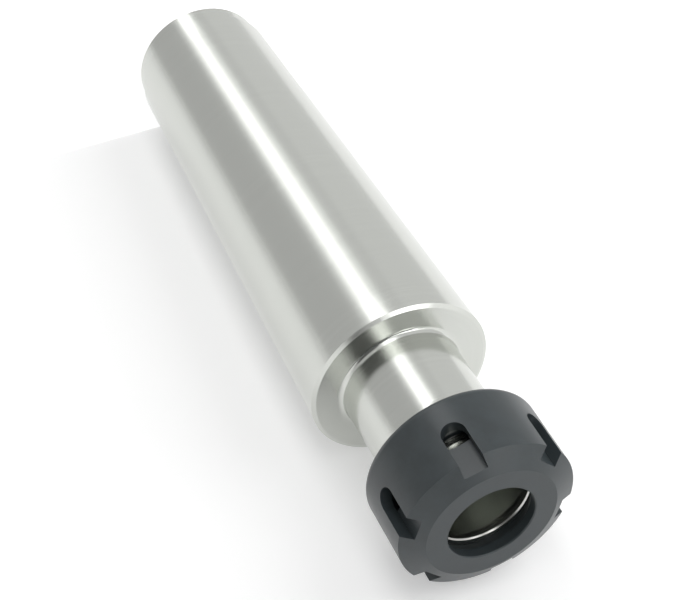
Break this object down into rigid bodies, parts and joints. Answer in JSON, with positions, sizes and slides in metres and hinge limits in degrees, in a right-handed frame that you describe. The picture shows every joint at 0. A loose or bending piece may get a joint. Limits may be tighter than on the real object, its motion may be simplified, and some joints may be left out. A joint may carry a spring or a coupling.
{
  "type": "collet chuck holder",
  "caption": "Tapered steel tool holder with a neck, a threaded nose and a slotted black clamping nut that grips a spring collet, with a threaded drawbar hole in its small end.",
  "frame": {"origin": "centre of the small end's face, on the axis", "axes": "+Z along the axis from the small end to the clamping nut, with the holder standing on its small end; +X through one spanner slot at rest"},
  "size_m": [0.0448, 0.0446, 0.1829],
  "materials": {
    "ground_steel": "ground and polished hardened steel",
    "black_oxide_steel": "turned steel, black oxide, satin",
    "spring_steel": "bare spring steel, turned"
  },
  "bodies": {
    "holder": {"holder_body": "ground_steel"},
    "ring": {"extraction_ring": "spring_steel"},
    "nut": {"clamping_nut": "black_oxide_steel"}
  },
  "joints": [
    {"name": "nut_travel", "type": "slide", "parent": "holder", "child": "ring", "axis": [0, 0, 1], "range_m": [0, 0.0105]},
    {"name": "nut_turn", "type": "hinge", "parent": "ring", "child": "nut", "pos_m": [0, 0, 0.1725], "axis": [0, 0, 1], "range_deg": [0, 2520]}
  ],
  "couplings": [
    {"joint": "nut_travel", "follows": "nut_turn", "m_per_rad": 0.00023873}
  ]
}
